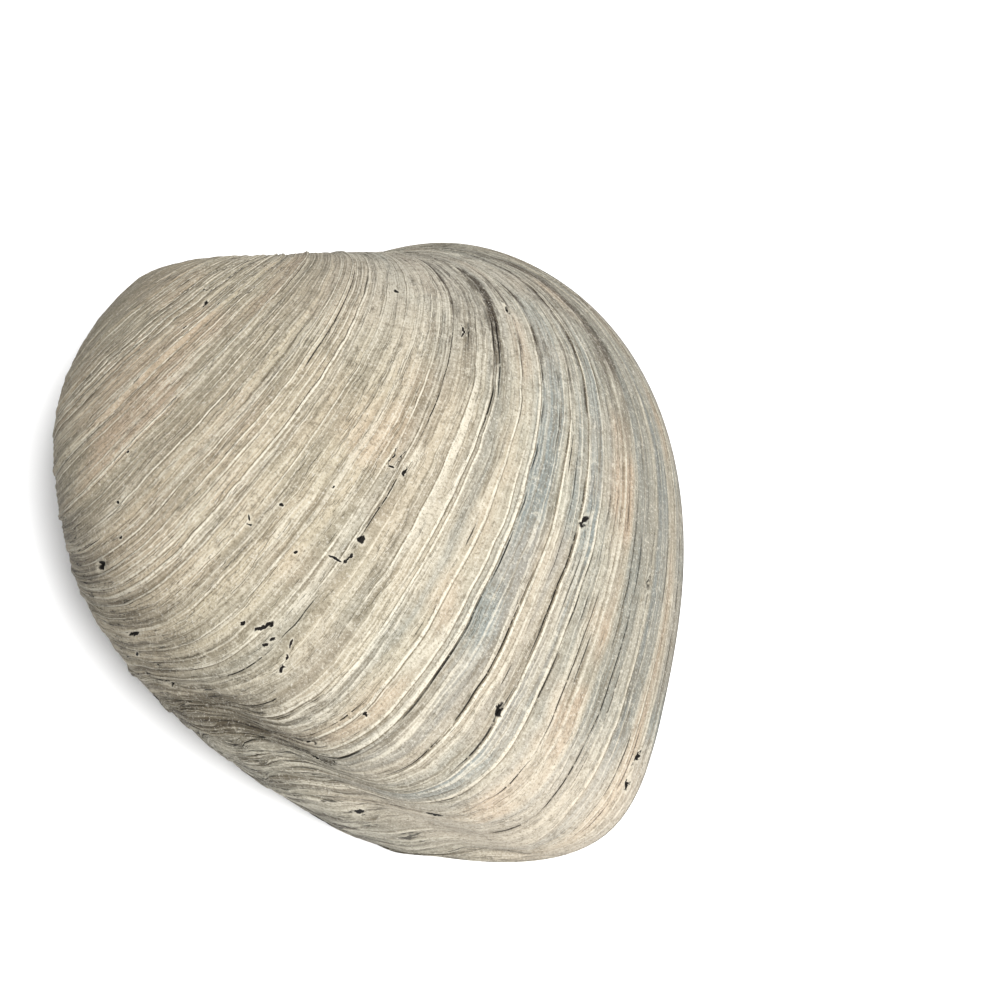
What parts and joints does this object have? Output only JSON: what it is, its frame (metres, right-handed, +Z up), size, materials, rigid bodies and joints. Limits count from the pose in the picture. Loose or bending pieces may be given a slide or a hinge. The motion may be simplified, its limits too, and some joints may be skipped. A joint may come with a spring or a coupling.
{
  "type": "clam shell",
  "caption": "Single valve of a large hard clam, domed and hollow, with concentric growth ledges, a curled beak and a flat rim to rest on.",
  "frame": {"origin": "middle of the bounding box, in the plane of the rim that the valve lies on", "axes": "+X from the hinge towards the belly edge, +Y towards the head end, +Z up and out of the domed outside"},
  "size_m": [0.1047, 0.103, 0.0437],
  "materials": {
    "shell": "chalky, weathered, matt"
  },
  "bodies": {
    "root": {"right_valve": "shell"}
  },
  "joints": []
}
